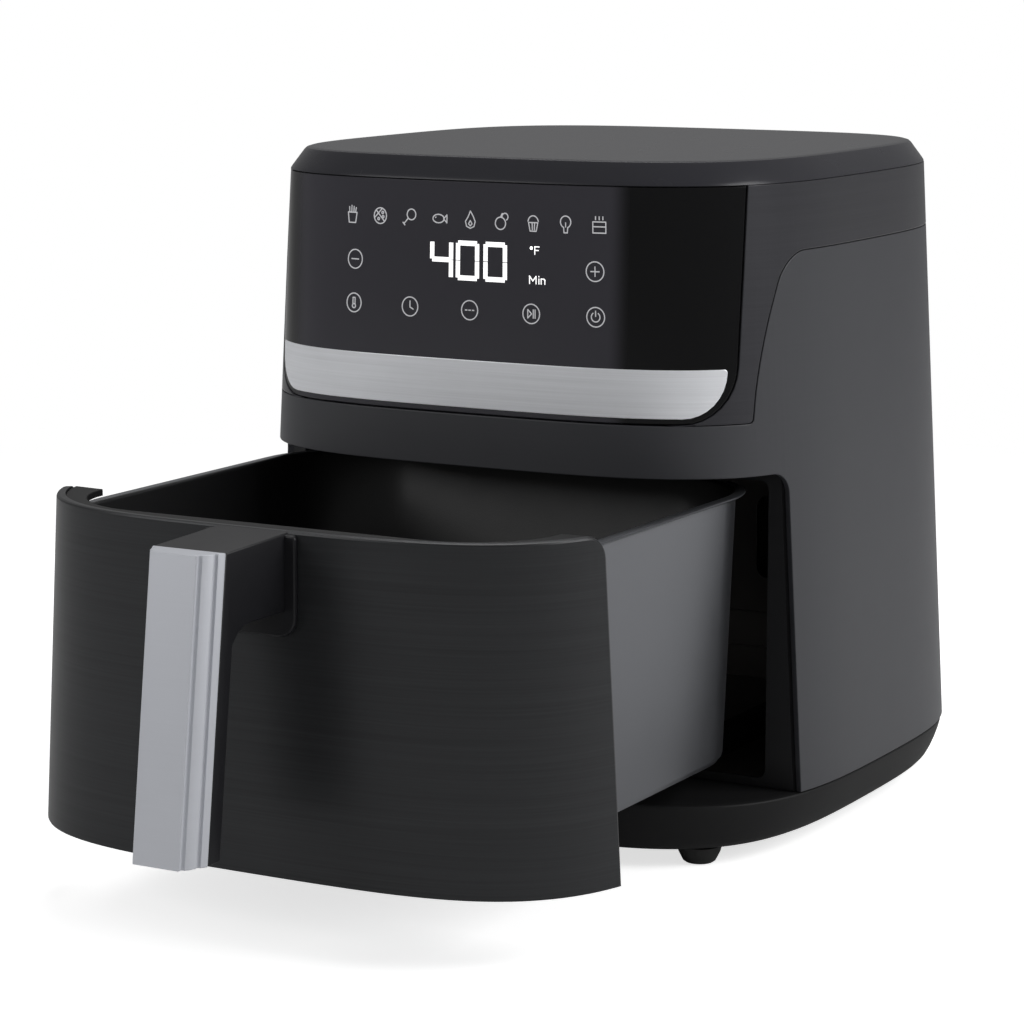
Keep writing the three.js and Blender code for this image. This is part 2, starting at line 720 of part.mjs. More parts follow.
function makeSensor() {
  const rod = post(0, 0, elementZ - 4, domeTop + 6, 2, 12);
  const collar = post(0, 0, domeTop + gap, domeTop + 3, 5, 12);
  const sensor = piece('temperature_sensor', rod.add(collar), plainSteel);
  sensor.position.set(sensorSpot[0], roofCentreY + sensorSpot[1], 0);
  return sensor;
}

function makeThermalCutout() {
  const can = post(0, 0, domeTop + gap, domeTop + 9, 8, 20);
  const cutout = piece('thermal_cutout', can, mattBlack);
  cutout.position.set(cutoutSpot[0], roofCentreY + cutoutSpot[1], 0);
  return cutout;
}

// Motor and the two fans on its shaft.
const bracketTop = domeTop + 12;
const bracketHalf = domeRadius + 14;
const bracketSheet = 1.6;
const motorBase = bracketTop + gap;
const motorTop = motorBase + motorHeight;
const fanBladeTop = domeTop - sheet - 3;
const fanBladeLow = fanBladeTop - bladeHeight;
const shaftTop = motorTop + 20;
const coolingLow = motorTop + 4;

function makeMotorBracket() {
  const foot = chamberRoof + sheet + gap;
  const half = bracketHalf;
  const shape = new THREE.Shape();
  const outline = [
    [-half - 6, foot], [-half + bracketSheet, foot], [-half + bracketSheet, bracketTop - bracketSheet],
    [half - bracketSheet, bracketTop - bracketSheet], [half - bracketSheet, foot], [half + 6, foot],
    [half + 6, foot + bracketSheet], [half, foot + bracketSheet], [half, bracketTop],
    [-half, bracketTop], [-half, foot + bracketSheet], [-half - 6, foot + bracketSheet],
  ];
  outline.forEach(([x, z], i) => (i ? shape.lineTo(x, z) : shape.moveTo(x, z)));
  const strap = frontPrism(shape, roofCentreY - 12, roofCentreY + 12);
  const hole = post(0, roofCentreY, bracketTop - 5, bracketTop + 5, 8, 20);
  return piece('motor_bracket', strap.subtract(hole), plainSteel);
}

function makeMotor() {
  const can = post(0, roofCentreY, motorBase, motorTop, motorRadius, 24);
  const neck = post(0, roofCentreY, motorTop - 1, motorTop + 2, 9, 20);
  const bore = post(0, roofCentreY, motorBase - 5, motorTop + 5, shaftRadius + gap, 24);
  return piece('fan_motor', can.add(neck).subtract(bore), plainSteel);
}

function fanWheel(name, radius, zLow, zHigh, bladeCount, discAtTop, finish) {
  const disc = discAtTop ? [zHigh - 1.2, zHigh] : [zLow, zLow + 1.2];
  const vane = discAtTop ? [zLow, zHigh - 0.6] : [zLow + 0.6, zHigh];
  const hub = post(0, 0, zLow - 0.8, zHigh + 0.8, 8, 20);
  const plate = post(0, 0, disc[0], disc[1], radius, 28);
  const blades = Array.from({ length: bladeCount }, (_, i) => {
    const blade = new THREE.BoxGeometry(radius - 9, 1.2, vane[1] - vane[0]);
    blade.translate((radius + 5) / 2, 0, (vane[0] + vane[1]) / 2);
    blade.rotateZ((2 * Math.PI * i) / bladeCount);
    return solid(blade);
  });
  const bore = post(0, 0, zLow - 5, zHigh + 5, shaftRadius + gap, 24);
  const wheel = piece(name, joined([hub, plate, ...blades]).subtract(bore), finish);
  wheel.position.y = roofCentreY;
  return wheel;
}

function makeShaft() {
  const rod = post(0, roofCentreY, fanBladeLow - 5, shaftTop, shaftRadius, 24);
  return piece('fan_shaft', rod, plainSteel);
}

function makeFanNut() {
  const nut = post(0, roofCentreY, fanBladeLow - 4 - gap, fanBladeLow - 0.8 - gap, 5.5, 6);
  const bore = post(0, roofCentreY, fanBladeLow - 9, fanBladeLow + 5, shaftRadius + gap, 24);
  return piece('fan_nut', nut.subtract(bore), plainSteel);
}

// Drawer, modelled closed and then slid forward by the travel of its group.
const handleScrewLevels = [drawerTop - 10, drawerTop - 24];
const basketScrewX = 26;
const basketScrewHead = 1.6;
const bracketLow = basketBottom + 20;
const bracketHigh = basketBottom + 70;
const basketScrewZ = (bracketLow + bracketHigh) / 2;
const wingInner = rimHalfWidth + gap * 2;
const plateClearance = 1.5;

function makeDrawerSkin() {
  const skin = bodySkin(drawerBottom, drawerTop, 0, skinWall).intersect(pocketPrism(0));
  const holes = handleScrewLevels.map((z) => pinAlongY(0, z, -far, 0, pilotRadius, 12));
  return piece('drawer_front', cut(skin, holes), brushedDark);
}
function makeDrawerLiner() {
  const inset = skinWall + gap;
  const low = drawerBottom + 3;
  const high = drawerTop - 1;
  const bayCorners = [frontCornerRadius, frontCornerRadius, 0, 0];
  const bayOutline = roundedRect(-wingInner, linerBackY, wingInner, far, bayCorners);
  const basketBay = flatPrism(bayOutline, low - 5, high + 5);
  const outside = bodyBlock(low, high, inset).subtract(basketBay).intersect(pocketPrism(-1));
  const hollowFront = box([-far, -far, low - 5], [far, linerBackY - linerWall, high - linerWall]);
  const hollow = bodyBlock(low - 5, high, inset + linerWall).intersect(hollowFront);
  const recess = pinAlongY(switchX, switchZ, seatY - plungerReach - gap - 1, far, plungerRadius + 1);
  const screwHoles = handleScrewLevels.map((z) =>
    pinAlongY(0, z, -far, linerBackY - 5, pilotRadius, 12));
  const driverHoles = handleScrewLevels.map((z) => pinAlongY(0, z, linerBackY - 5, 0, 4.5, 12));
  const basketHoles = [-1, 1].map((side) =>
    pinAlongY(side * basketScrewX, basketScrewZ, linerBackY - 8, 0, pilotRadius, 12));
  const shape = cut(outside, [hollow, recess, ...screwHoles, ...driverHoles, ...basketHoles]);
  return piece('drawer_liner', shape, mattBlack);
}

function basketRing(z, inset) {
  const share = (basketTop - z) / (basketTop - basketBottom);
  const shrink = inset + basketDraft * share;
  const half = basketHalfWidth - shrink;
  const front = basketFrontY + inset + share * 0.4;
  const rear = basketRearY - shrink;
  const frontRadius = frontCornerRadius - inset;
  const rearRadius = rearCornerRadius - inset;
  const corners = [frontRadius, frontRadius, rearRadius, rearRadius];
  const outline = roundedRect(-half, front, half, rear, corners).getPoints(6);
  const points = outline.filter((point, i) => i === 0 || point.distanceTo(outline[i - 1]) > 0.01);
  return { z, points: points.map((point) => [point.x, point.y]) };
}

function makeBasket() {
  const body = loft([basketRing(basketBottom, 1.2), basketRing(basketBottom + 3, 1.2)])
    .add(loft([basketRing(basketBottom + 3, 0), basketRing(basketTop, 0)]));
  const rim = loft([basketRing(basketTop - 1.2, -rimWidth + 0.5), basketRing(basketTop, -rimWidth)]);
  const frontTrim = box([-far, -far, 0], [far, basketFrontY, bodyHeight]);
  const inside = loft([
    basketRing(basketBottom + basketWall, basketWall + 1), basketRing(basketTop + 1, basketWall),
  ]);
  const holes = [-1, 1].map((side) =>
    pinAlongY(side * basketScrewX, basketScrewZ, -far, 0, pilotRadius, 12));
  return piece('basket', cut(body.add(rim), [inside, frontTrim, ...holes]), coatedSteel);
}

function makeBasketBracket() {
  const half = basketScrewX + 16;
  const plate = box([-half, linerBackY + gap, bracketLow], [half, basketFrontY - gap, bracketHigh]);
  const holes = [-1, 1].map((side) =>
    pinAlongY(side * basketScrewX, basketScrewZ, -far, 0, pilotRadius, 12));
  return piece('basket_bracket', cut(plate, holes), plainSteel);
}

function makeBasketScrews() {
  return [-1, 1].map((side) => {
    const name = `basket_screw_${side < 0 ? 'left' : 'right'}`;
    const item = screw(name, 5, basketScrewHead, 2, 8.6);
    const headY = linerBackY - linerWall - gap - basketScrewHead;
    item.rotation.x = -Math.PI / 2;
    item.position.set(side * basketScrewX, headY, basketScrewZ);
    return item;
  });
}

function makeCrisper() {
  const level = basketBottom + plateHeight;
  const ring = basketRing(level, basketWall + plateClearance);
  const plate = loft([ring, { z: level + plateThickness, points: ring.points }]);
  const centreY = (basketFrontY + basketRearY) / 2;
  const holes = [];
  for (let row = -2; row <= 2; row++) {
    for (let column = -2; column <= 2; column++) {
      holes.push(post(column * holePitch, centreY + row * holePitch, level - 5, level + 5, holeRadius, 8));
    }
  }
  const slots = bumperSpots().map(([x, y]) => post(x, y, level - 5, level + 5, bumperRadius - 2 + gap, 16));
  return piece('crisper_plate', cut(plate, [...holes, ...slots]), coatedSteel);
}

function bumperSpots() {
  const reach = basketHalfWidth - basketDraft - basketWall - bumperRadius - 3;
  return [-1, 1].flatMap((side) => [
    [side * reach, basketFrontY + 40],
    [side * reach, basketRearY - 62],
  ]);
}

function makeBumpers() {
  const low = basketBottom + basketWall + gap;
  const level = basketBottom + plateHeight;
  return bumperSpots().map(([x, y], i) => {
    const parts = [
      post(x, y, low, level - gap, bumperRadius, 12),
      post(x, y, level - 1, level + plateThickness + 1, bumperRadius - 2, 12),
      post(x, y, level + plateThickness + gap, low + bumperHeight, bumperRadius, 12),
    ];
    return piece(`crisper_foot_${i + 1}`, joined(parts), silicone);
  });
}

// Handle: a bridge and grip in one moulding, with a satin cap over its front.
const gripTop = drawerTop - 1.5;
const gripBottom = gripTop - handleLength;
const faceY = (z) => -(halfDepthAt(drawerTop) + handleReach) - handleLean * (drawerTop - z);
const capEdgeY = (z) => faceY(z) + capDepth;

function makeGrip() {
  const underside = drawerTop - bridgeHeight;
  const fillet = 11;
  const backY = (z) => capEdgeY(z) + gripDepth;
  const shape = new THREE.Shape();
  shape.moveTo(-footHalfDepth + 5, drawerTop);
  shape.lineTo(capEdgeY(gripTop), gripTop);
  shape.lineTo(capEdgeY(gripBottom), gripBottom);
  shape.lineTo(backY(gripBottom), gripBottom);
  shape.lineTo(backY(underside - fillet), underside - fillet);
  shape.quadraticCurveTo(backY(underside), underside, backY(underside) + fillet, underside);
  shape.lineTo(-footHalfDepth + 5, underside);
  const arm = sidePrism(shape, -handleHalfWidth, handleHalfWidth);
  const flangeOutline = roundedRect(
    -flangeHalfWidth, drawerTop - flangeHeight, flangeHalfWidth, drawerTop - 1, [8, 8, 2, 2]);
  const flange = bodySkin(drawerBottom, drawerTop, -gap - flangeThickness, 0)
    .intersect(frontPrism(flangeOutline, -far, -footHalfDepth / 2));
  const holes = handleScrewLevels.map((z) => pinAlongY(0, z, -footHalfDepth - 14, 0, 2.3, 12));
  const face = bodyBlock(drawerBottom - 5, drawerTop + 5, -gap);
  return piece('handle_grip', cut(arm.add(flange), [face, ...holes]), mattBlack);
}

function makeCap() {
  const ring = (z) => ({
    z,
    points: [
      [-handleHalfWidth, capEdgeY(z) - gap], [-capHalfWidth, faceY(z)],
      [capHalfWidth, faceY(z)], [handleHalfWidth, capEdgeY(z) - gap],
    ],
  });
  return piece('handle_cap', loft([ring(gripBottom), ring(gripTop)]), satinSilver);
}

function makeHandleScrews() {
  return handleScrewLevels.map((z, i) => {
    const item = screw(`handle_screw_${i + 1}`, 4, 2.2, 2, 16);
    item.rotation.x = Math.PI / 2;
    item.position.set(0, -(halfDepthAt(z) - skinWall - linerWall - gap * 2 - 2.4), z);
    return item;
  });
}

// Assembly.
function group(...nodes) {
  const holder = new THREE.Group();
  holder.add(...nodes.flat());
  return holder;
}

const housing = group(
  makeOuterShell(), makeTopCover(), makeFascia(), makeTrimBand(), makeFasciaCarrier(),
  makeControlBoard(), makePowerBoard(), makeRearVent(), makeCordGland(), makeBasePan(),
  makeFeet(), makeHousingScrews(), makeBayFrame(), makeDrawerSwitch(), makePlunger(),
);
const heater = group(
  makeChamber(), makeRails(), makeDome(), makeElement(), makeElementClips(), makeSensor(),
  makeThermalCutout(), makeMotorBracket(), makeMotor(), makeShaft(), makeFanNut(),
  fanWheel('convection_fan', fanRadius, fanBladeLow, fanBladeTop, 10, true, plainSteel),
  fanWheel('cooling_fan', coolingFanRadius, coolingLow, coolingLow + 10, 7, false, mattBlack),
);
const drawer = group(
  makeDrawerSkin(), makeDrawerLiner(), makeBasket(), makeBasketBracket(), makeBasketScrews(),
  makeCrisper(), makeBumpers(), makeGrip(), makeCap(), makeHandleScrews(),
);
drawer.position.y = -openTravel;

// The origin lies on the floor under the middle of the whole object with its drawer open.
const frontReach = faceY(gripBottom) - openTravel;
const rearReach = Math.max(footHalfDepth, rearYAt(glandX, glandZ) + glandReach);
const airFryer = group(housing, heater, drawer);
airFryer.position.y = -(frontReach + rearReach) / 2;

export default airFryer;
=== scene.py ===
import math

import bmesh
import bpy
import numpy as np
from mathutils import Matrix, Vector


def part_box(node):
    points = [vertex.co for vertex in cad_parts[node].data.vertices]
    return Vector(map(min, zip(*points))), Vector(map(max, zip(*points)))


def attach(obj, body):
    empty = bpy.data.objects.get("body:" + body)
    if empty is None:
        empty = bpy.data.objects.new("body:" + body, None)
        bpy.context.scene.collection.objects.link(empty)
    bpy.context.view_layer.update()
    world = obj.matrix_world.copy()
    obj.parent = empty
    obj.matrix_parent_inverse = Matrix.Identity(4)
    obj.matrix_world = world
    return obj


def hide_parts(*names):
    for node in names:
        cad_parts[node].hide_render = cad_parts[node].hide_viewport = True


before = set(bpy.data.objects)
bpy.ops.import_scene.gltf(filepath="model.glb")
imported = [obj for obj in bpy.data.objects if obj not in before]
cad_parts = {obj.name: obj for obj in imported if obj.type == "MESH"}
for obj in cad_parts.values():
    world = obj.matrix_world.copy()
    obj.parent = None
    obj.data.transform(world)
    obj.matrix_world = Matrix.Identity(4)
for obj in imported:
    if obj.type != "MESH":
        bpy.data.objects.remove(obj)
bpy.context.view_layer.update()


# The view: from the right of the open drawer, a little above the rim of the basket.
sight = Vector((-0.4804, 0.8604, -0.1702))
camera = bpy.data.objects.new("camera", bpy.data.cameras.new("camera"))
camera.data.lens = 115.34
camera.data.sensor_width = 36
camera.location = (0.6936, -1.22094, 0.3883)
camera.rotation_euler = sight.to_track_quat("-Z", "Y").to_euler()
bpy.context.scene.collection.objects.link(camera)
bpy.context.scene.camera = camera
bpy.context.scene.view_settings.view_transform = "Standard"


# The studio: a pale floor that fades into a white surround, and large soft lamps on either
# side and above. The camera sees the surround as white; the object is lit by a dimmer fill.
# Shader maths is written on Shade, which stands for one output of a node.
class Shade:
    def __init__(self, tree, socket):
        self.tree = tree
        self.socket = socket

    def node(self, kind, settings=(), inputs=(), output=0):
        made = self.tree.nodes.new(kind)
        for name, value in dict(settings).items():
            setattr(made, name, value)
        for name, value in dict(inputs).items():
            if isinstance(value, Shade):
                self.tree.links.new(value.socket, made.inputs[name])
            else:
                made.inputs[name].default_value = value
        return Shade(self.tree, made.outputs[output] if len(made.outputs) else None)

    def maths(self, operation, *values):
        return self.node("ShaderNodeMath", {"operation": operation}, dict(enumerate(values)))

    def __add__(self, other):
        return self.maths("ADD", self, other)

    def __sub__(self, other):
        return self.maths("SUBTRACT", self, other)

    def __rsub__(self, other):
        return self.maths("SUBTRACT", other, self)

    def __mul__(self, other):
        return self.maths("MULTIPLY", self, other)

    __radd__ = __add__
    __rmul__ = __mul__


def new_material(name):
    made = bpy.data.materials.new(name)
    made.use_nodes = True
    made.node_tree.nodes.clear()
    return made, Shade(made.node_tree, None)


floor_half = 6
fade_start, fade_end = 0.45, 1.2
white_paper, plain_white = (0.9, 0.9, 0.9, 1), (1, 1, 1, 1)
floor_glow, fill_strength = 0.70, 0.27

floor_mesh = bmesh.new()
bmesh.ops.create_grid(floor_mesh, x_segments=2, y_segments=2, size=floor_half)
floor = bpy.data.objects.new("floor", bpy.data.meshes.new("floor"))
floor_mesh.to_mesh(floor.data)
floor_mesh.free()
bpy.context.scene.collection.objects.link(floor)
floor_material, start = new_material("studio_floor")
direct = start.node("ShaderNodeLightPath", output="Is Camera Ray")
place = start.node("ShaderNodeTexCoord", output="Object")
distance = start.node(
    "ShaderNodeVectorMath", {"operation": "LENGTH"}, {0: place}, output="Value")
far = start.node("ShaderNodeMapRange", {"interpolation_type": "SMOOTHSTEP"}, {
    "Value": distance, "From Min": fade_start, "From Max": fade_end,
    "To Min": 0.0, "To Max": 1.0})
paper = start.node("ShaderNodeBsdfDiffuse", inputs={"Color": white_paper})
glow = start.node("ShaderNodeEmission", inputs={"Color": plain_white, "Strength": floor_glow})
lit = start.node("ShaderNodeAddShader", inputs={0: paper, 1: glow})
white = start.node("ShaderNodeEmission", inputs={"Color": plain_white, "Strength": 1.0})
faded = start.node("ShaderNodeMixShader", inputs={0: far, 1: lit, 2: white})
shown = start.node("ShaderNodeMixShader", inputs={0: direct, 1: paper, 2: faded})
start.node("ShaderNodeOutputMaterial", inputs={"Surface": shown})
floor.data.materials.append(floor_material)

world = bpy.data.worlds.new("studio")
world.use_nodes = True
world.node_tree.nodes.clear()
start = Shade(world.node_tree, None)
direct = start.node("ShaderNodeLightPath", output="Is Camera Ray")
fill = start.node(
    "ShaderNodeBackground", inputs={"Color": plain_white, "Strength": fill_strength})
behind = start.node("ShaderNodeBackground", inputs={"Color": plain_white, "Strength": 1.0})
mixed = start.node("ShaderNodeMixShader", inputs={0: direct, 1: fill, 2: behind})
start.node("ShaderNodeOutputWorld", inputs={"Surface": mixed})
bpy.context.scene.world = world

lamp_width = 1.2
for name, place, aim, watts in (
        ("lamp_right", (1.95, 0.42, 1.35), (0, 0, 0.15), 27),
        ("lamp_left", (-1.6, -2.0, 1.3), (0, 0, 0.15), 16),
        ("lamp_above", (-0.5, 1.1, 2.0), (0, 0, 0.2), 12)):
    lamp = bpy.data.objects.new(name, bpy.data.lights.new(name, "AREA"))
    lamp.data.size = lamp_width
    lamp.data.energy = watts
    lamp.location = place
    towards = Vector(aim) - Vector(place)
    lamp.rotation_euler = towards.to_track_quat("-Z", "Y").to_euler()
    bpy.context.scene.collection.objects.link(lamp)


# The outer shell: one moulding of dark graphite plastic, 3 mm thick, with a fine satin texture.
# It wraps the body, which is a rounded square in plan with bowed sides and narrows with height.
# Its front is cut away for the drawer and for the top cover, and its rear for the vent.
body_middle = 0.11595
foot_half_wide, foot_half_deep = 0.1401, 0.136
wide_taper, deep_taper = 0.0145, 0.0053
side_bow, front_bow = 0.0044, 0.0041
squareness = 2 / 4.2
shell_low, shell_high, shoulder = 0.0293, 0.261, 0.290
taper_foot, taper_rise = 0.029, 0.261
pocket_top, wing_edge = 0.1681, -0.0801
plastic_wall, soft_edge = 0.003, 0.0004
strip_width = 0.004


def reach(z, inset=0.0):
    """The body's half width and half depth at a height."""
    rise = (z - taper_foot) / taper_rise
    return foot_half_wide - wide_taper * rise - inset, foot_half_deep - deep_taper * rise - inset


def bowed(u, v, half_wide, half_deep):
    return u * (half_wide - side_bow * v * v), v * (half_deep - front_bow * u * u)


turn = np.linspace(-math.pi / 2, math.pi / 2, 24001)
turn_u = np.abs(np.cos(turn)) ** squareness
turn_v = np.sign(np.sin(turn)) * np.abs(np.sin(turn)) ** squareness
run_x, run_y = bowed(turn_u, turn_v, *reach(0.16))
run = np.concatenate([[0], np.cumsum(np.hypot(np.diff(run_x), np.diff(run_y)))])
half_round = float(run[-1])


def on_plan(s):
    """The unit plan at a length s round the body from the middle of the front."""
    u = math.copysign(float(np.interp(abs(s), run, turn_u)), s)
    return u, float(np.interp(abs(s), run, turn_v))


def around(s, z, depth=0.0):
    """Where a length s round the body, a height z and a depth under its surface come to lie."""
    return bowed(*on_plan(s), *reach(z, depth))


def run_at_x(x, z):
    """The length round the body, on its front, at which it is x from the middle."""
    front = turn < 0
    across, _ = bowed(turn_u[front], turn_v[front], *reach(z))
    widest = int(np.argmax(across))
    return float(np.interp(x, across[:widest], run[front][:widest]))


def run_at_y(y, z):
    """The length round the body at which it is y behind its middle."""
    _, along = bowed(turn_u, turn_v, *reach(z))
    return float(np.interp(y, along, run))


def everything(mesh):
    return mesh.verts[:] + mesh.edges[:] + mesh.faces[:]


def only(kind, result):
    return [item for item in result["geom"] if isinstance(item, kind)]


def thickened(mesh, offset):
    """Pushes every face of a flat mesh out by offset, which makes it a closed slab."""
    pushed = bmesh.ops.extrude_face_region(mesh, geom=mesh.faces[:])
    bmesh.ops.translate(mesh, verts=only(bmesh.types.BMVert, pushed), vec=offset)


def rounded_outline(mesh, corners):
    """A flat face in X and Z; each corner is its X, its Z and the radius that rounds it."""
    points = [mesh.verts.new((s, 0, z)) for s, z, *_ in corners]
    mesh.faces.new(points)
    for point, corner in zip(points, corners):
        if len(corner) > 2 and corner[2]:
            bmesh.ops.bevel(
                mesh, geom=[point], offset=corner[2], offset_type="OFFSET", segments=8,
                profile=0.5, affect="VERTICES", material=-1)


def sheet_mesh(corners, outer, inner, rim):
    """A wall in X and Z from depth outer to depth inner, its outer rim rounded, cut into strips
    so that it can bend. The half sheet is open at the middles of front and rear, and mirrored."""
    mesh = bmesh.new()
    rounded_outline(mesh, corners)
    bmesh.ops.recalc_face_normals(mesh, faces=mesh.faces)
    bmesh.ops.translate(mesh, verts=mesh.verts, vec=(0, outer, 0))
    thickened(mesh, (0, inner - outer, 0))

    def on_end(item):
        lines = {round(vert.co.x, 5) for vert in item.verts}
        return len(lines) == 1 and lines <= {0.0, round(half_round, 5)}

    middle = (outer + inner) / 2
    rim_edges = [
        edge for edge in mesh.edges
        if all(vert.co.y < middle for vert in edge.verts) and not on_end(edge)]
    bmesh.ops.bevel(
        mesh, geom=rim_edges, offset=rim, segments=2, profile=0.5, affect="EDGES", material=-1)
    bmesh.ops.delete(mesh, geom=[face for face in mesh.faces if on_end(face)], context="FACES")
    low = min(vert.co.x for vert in mesh.verts)
    high = max(vert.co.x for vert in mesh.verts)
    for step in range(math.floor(low / strip_width) + 1, math.ceil(high / strip_width)):
        bmesh.ops.bisect_plane(
            mesh, geom=everything(mesh), plane_co=(step * strip_width, 0, 0),
            plane_no=(1, 0, 0), dist=1e-7)
    copy = bmesh.ops.duplicate(mesh, geom=everything(mesh))
    bmesh.ops.scale(mesh, verts=only(bmesh.types.BMVert, copy), vec=(-1, 1, 1))
    bmesh.ops.reverse_faces(mesh, faces=only(bmesh.types.BMFace, copy))
    return mesh


def bend_round_body(mesh, forward=0.0):
    """Wraps a sheet round the body; forward is how far the piece is slid out with the drawer."""
    for vert in mesh.verts:
        x, y = around(vert.co.x, vert.co.z, vert.co.y)
        vert.co = (x, y + body_middle - forward, vert.co.z)
    return mesh


def finished(mesh, name, body, finish, stands_for=(), sharp=14):
    """Makes the mesh a piece of the object that moves with a body."""
    bmesh.ops.remove_doubles(mesh, verts=mesh.verts, dist=2e-6)
    bmesh.ops.recalc_face_normals(mesh, faces=mesh.faces)
    data = bpy.data.meshes.new(name)
    mesh.to_mesh(data)
    mesh.free()
    data.shade_smooth()
    data.set_sharp_from_angle(angle=math.radians(sharp))
    piece = bpy.data.objects.new(name, data)
    bpy.context.scene.collection.objects.link(piece)
    piece.data.materials.append(finish)
    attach(piece, body)
    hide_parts(*stands_for)
    return piece


hairlines, broad_lines = (14, 14, 1500), (5, 5, 420)


def tinted(start, colour, shade):
    """A colour made lighter or darker by a shade of about 1."""
    grey = start.node("ShaderNodeCombineColor", inputs={0: shade, 1: shade, 2: shade})
    return start.node(
        "ShaderNodeMix", {"data_type": "RGBA", "blend_type": "MULTIPLY"},
        {0: 1.0, 6: (*colour, 1), 7: grey}, output=2)


def finish(name, colour, roughness, metallic=0.0, tint=0.08, mottle=60.0, grain=900.0,
           bump=0.02, brushing=0.0, uneven=0.05, gloss=0.5):
    """A surface with slow changes of shade, a fine grain and, if brushed, fine level lines."""
    made, start = new_material(name)
    place = start.node("ShaderNodeTexCoord", output="Object")

    def noise(vector, scale, detail):
        return start.node(
            "ShaderNodeTexNoise", inputs={"Vector": vector, "Scale": scale, "Detail": detail})

    def stretched(factors):
        return start.node(
            "ShaderNodeVectorMath", {"operation": "MULTIPLY"}, {0: place, 1: factors})

    slow = noise(place, mottle, 3.0)
    fine = noise(place, grain, 2.0)
    shade = 1.0 - tint * 0.5 + slow * tint
    height = fine
    if brushing:
        lines = noise(stretched(hairlines), 1.0, 4.0)
        broad = noise(stretched(broad_lines), 1.0, 2.0)
        shade = shade + (lines - 0.5) * brushing + (broad - 0.5) * (brushing * 0.6)
        height = lines * 0.7 + fine * 0.3
    relief = start.node(
        "ShaderNodeBump", inputs={"Strength": bump * 10, "Distance": 0.0001, "Height": height})
    surface = start.node("ShaderNodeBsdfPrincipled", inputs={
        "Base Color": tinted(start, colour, shade), "Metallic": metallic, "Normal": relief,
        "Roughness": (slow - 0.5) * uneven + roughness, "Specular IOR Level": gloss})
    start.node("ShaderNodeOutputMaterial", inputs={"Surface": surface})
    return made


shell_finish = finish(
    "graphite_plastic", (0.049, 0.050, 0.056), 0.46, tint=0.05, grain=1500, bump=0.02, gloss=0.35,
    brushing=0.06)
vent_low, vent_high, vent_half = 0.1861, 0.2459, 0.050
arm_foot, window_half, window_foot, window_curve = 0.1905, 0.113, 0.1908, 0.024
seam_front, seam_foot_step, seam_head_step, seam_gap = -0.0940, -0.0040, 0.0170, 0.0003
seam_bend, seam_bend_curve, seam_head_curve, seam_foot_curve = 0.2203, 0.02, 0.014, 0.002
wing_curve, vent_curve = 0.009, 0.008


def seam(step, z):
    """The seam with the top cover runs down the side of the body, a step behind seam_front."""
    return run_at_y(seam_front + step, z)


rear = half_round
shell_edge = [
    (0, pocket_top), (run_at_y(wing_edge, pocket_top), pocket_top, wing_curve),
    (run_at_y(wing_edge, shell_low), shell_low), (rear, shell_low),
    (rear, vent_low), (rear - vent_half, vent_low, vent_curve),
    (rear - vent_half, vent_high, vent_curve), (rear, vent_high), (rear, shell_high),
    (seam(seam_head_step + seam_gap, shell_high), shell_high, seam_head_curve),
    (seam(seam_gap, seam_bend), seam_bend, seam_bend_curve),
    (seam(seam_foot_step + seam_gap, arm_foot), arm_foot, seam_foot_curve), (0, arm_foot)]
shell = bend_round_body(sheet_mesh(shell_edge, 0.0, plastic_wall, soft_edge))
finished(shell, "shell", "housing", shell_finish, ["outer_shell"])


# The top cover: a gloss black lid whose skirt is brushed dark satin plastic. Two narrow arms
# of the skirt run down the front corners beside the control panel.
skirt_finish = finish(
    "brushed_skirt", (0.040, 0.040, 0.046), 0.34, metallic=0.25, brushing=0.30, tint=0.04,
    bump=0.02, gloss=0.35)
lid_finish = finish(
    "gloss_lid", (0.032, 0.032, 0.038), 0.27, tint=0.1, grain=500, bump=0.001,
    uneven=0.02, gloss=0.22)
skirt_low = shell_high + seam_gap
skirt_edge = [
    (run_at_x(window_half, shoulder), shoulder),
    (run_at_x(window_half, window_foot), window_foot, window_curve),
    (run_at_x(window_half - window_curve, window_foot), window_foot),
    (seam(seam_foot_step, window_foot), window_foot, seam_foot_curve),
    (seam(0.0, seam_bend), seam_bend, seam_bend_curve),
    (seam(seam_head_step, skirt_low), skirt_low, seam_head_curve),
    (rear, skirt_low), (rear, shoulder)]
skirt = bend_round_body(sheet_mesh(skirt_edge, 0.0, plastic_wall, soft_edge))
finished(skirt, "top_cover_skirt", "housing", skirt_finish, ["top_cover"])


def lofted(levels, count, caps=(False, False), second_from=None):
    """Rings that follow one another; a level is a function from an index to a place. Faces from
    level second_from onward take the piece's second material."""
    mesh = bmesh.new()
    ring = bmesh.ops.create_circle(mesh, segments=count, radius=1.0)
    edges = mesh.edges[:]
    if caps[0]:
        mesh.faces.new(ring["verts"])
    for _ in levels[1:]:
        grown = bmesh.ops.extrude_edge_only(mesh, edges=edges)
        verts = only(bmesh.types.BMVert, grown)
        bmesh.ops.translate(mesh, verts=verts, vec=(0, 0, 1))
        edges = [edge for edge in only(bmesh.types.BMEdge, grown)
                 if all(abs(vert.co.z - verts[0].co.z) < 0.5 for vert in edge.verts)]
    if caps[1]:
        bmesh.ops.holes_fill(mesh, edges=edges, sides=0)
    if second_from is not None:
        for face in mesh.faces:
            face.material_index = int(min(vert.co.z for vert in face.verts) > second_from - 0.5)
    for vert in mesh.verts:
        share = math.atan2(vert.co.y, vert.co.x) / (2 * math.pi) % 1.0
        index = round(share * count) % count
        vert.co = levels[round(vert.co.z)](index, count)
    return mesh


body_count = 240


def body_level(z, inset=0.0):
    def place(index, count):
        x, y = around((index / count * 2 - 1) * half_round, min(z, shoulder), inset)
        return x, y + body_middle, z
    return place


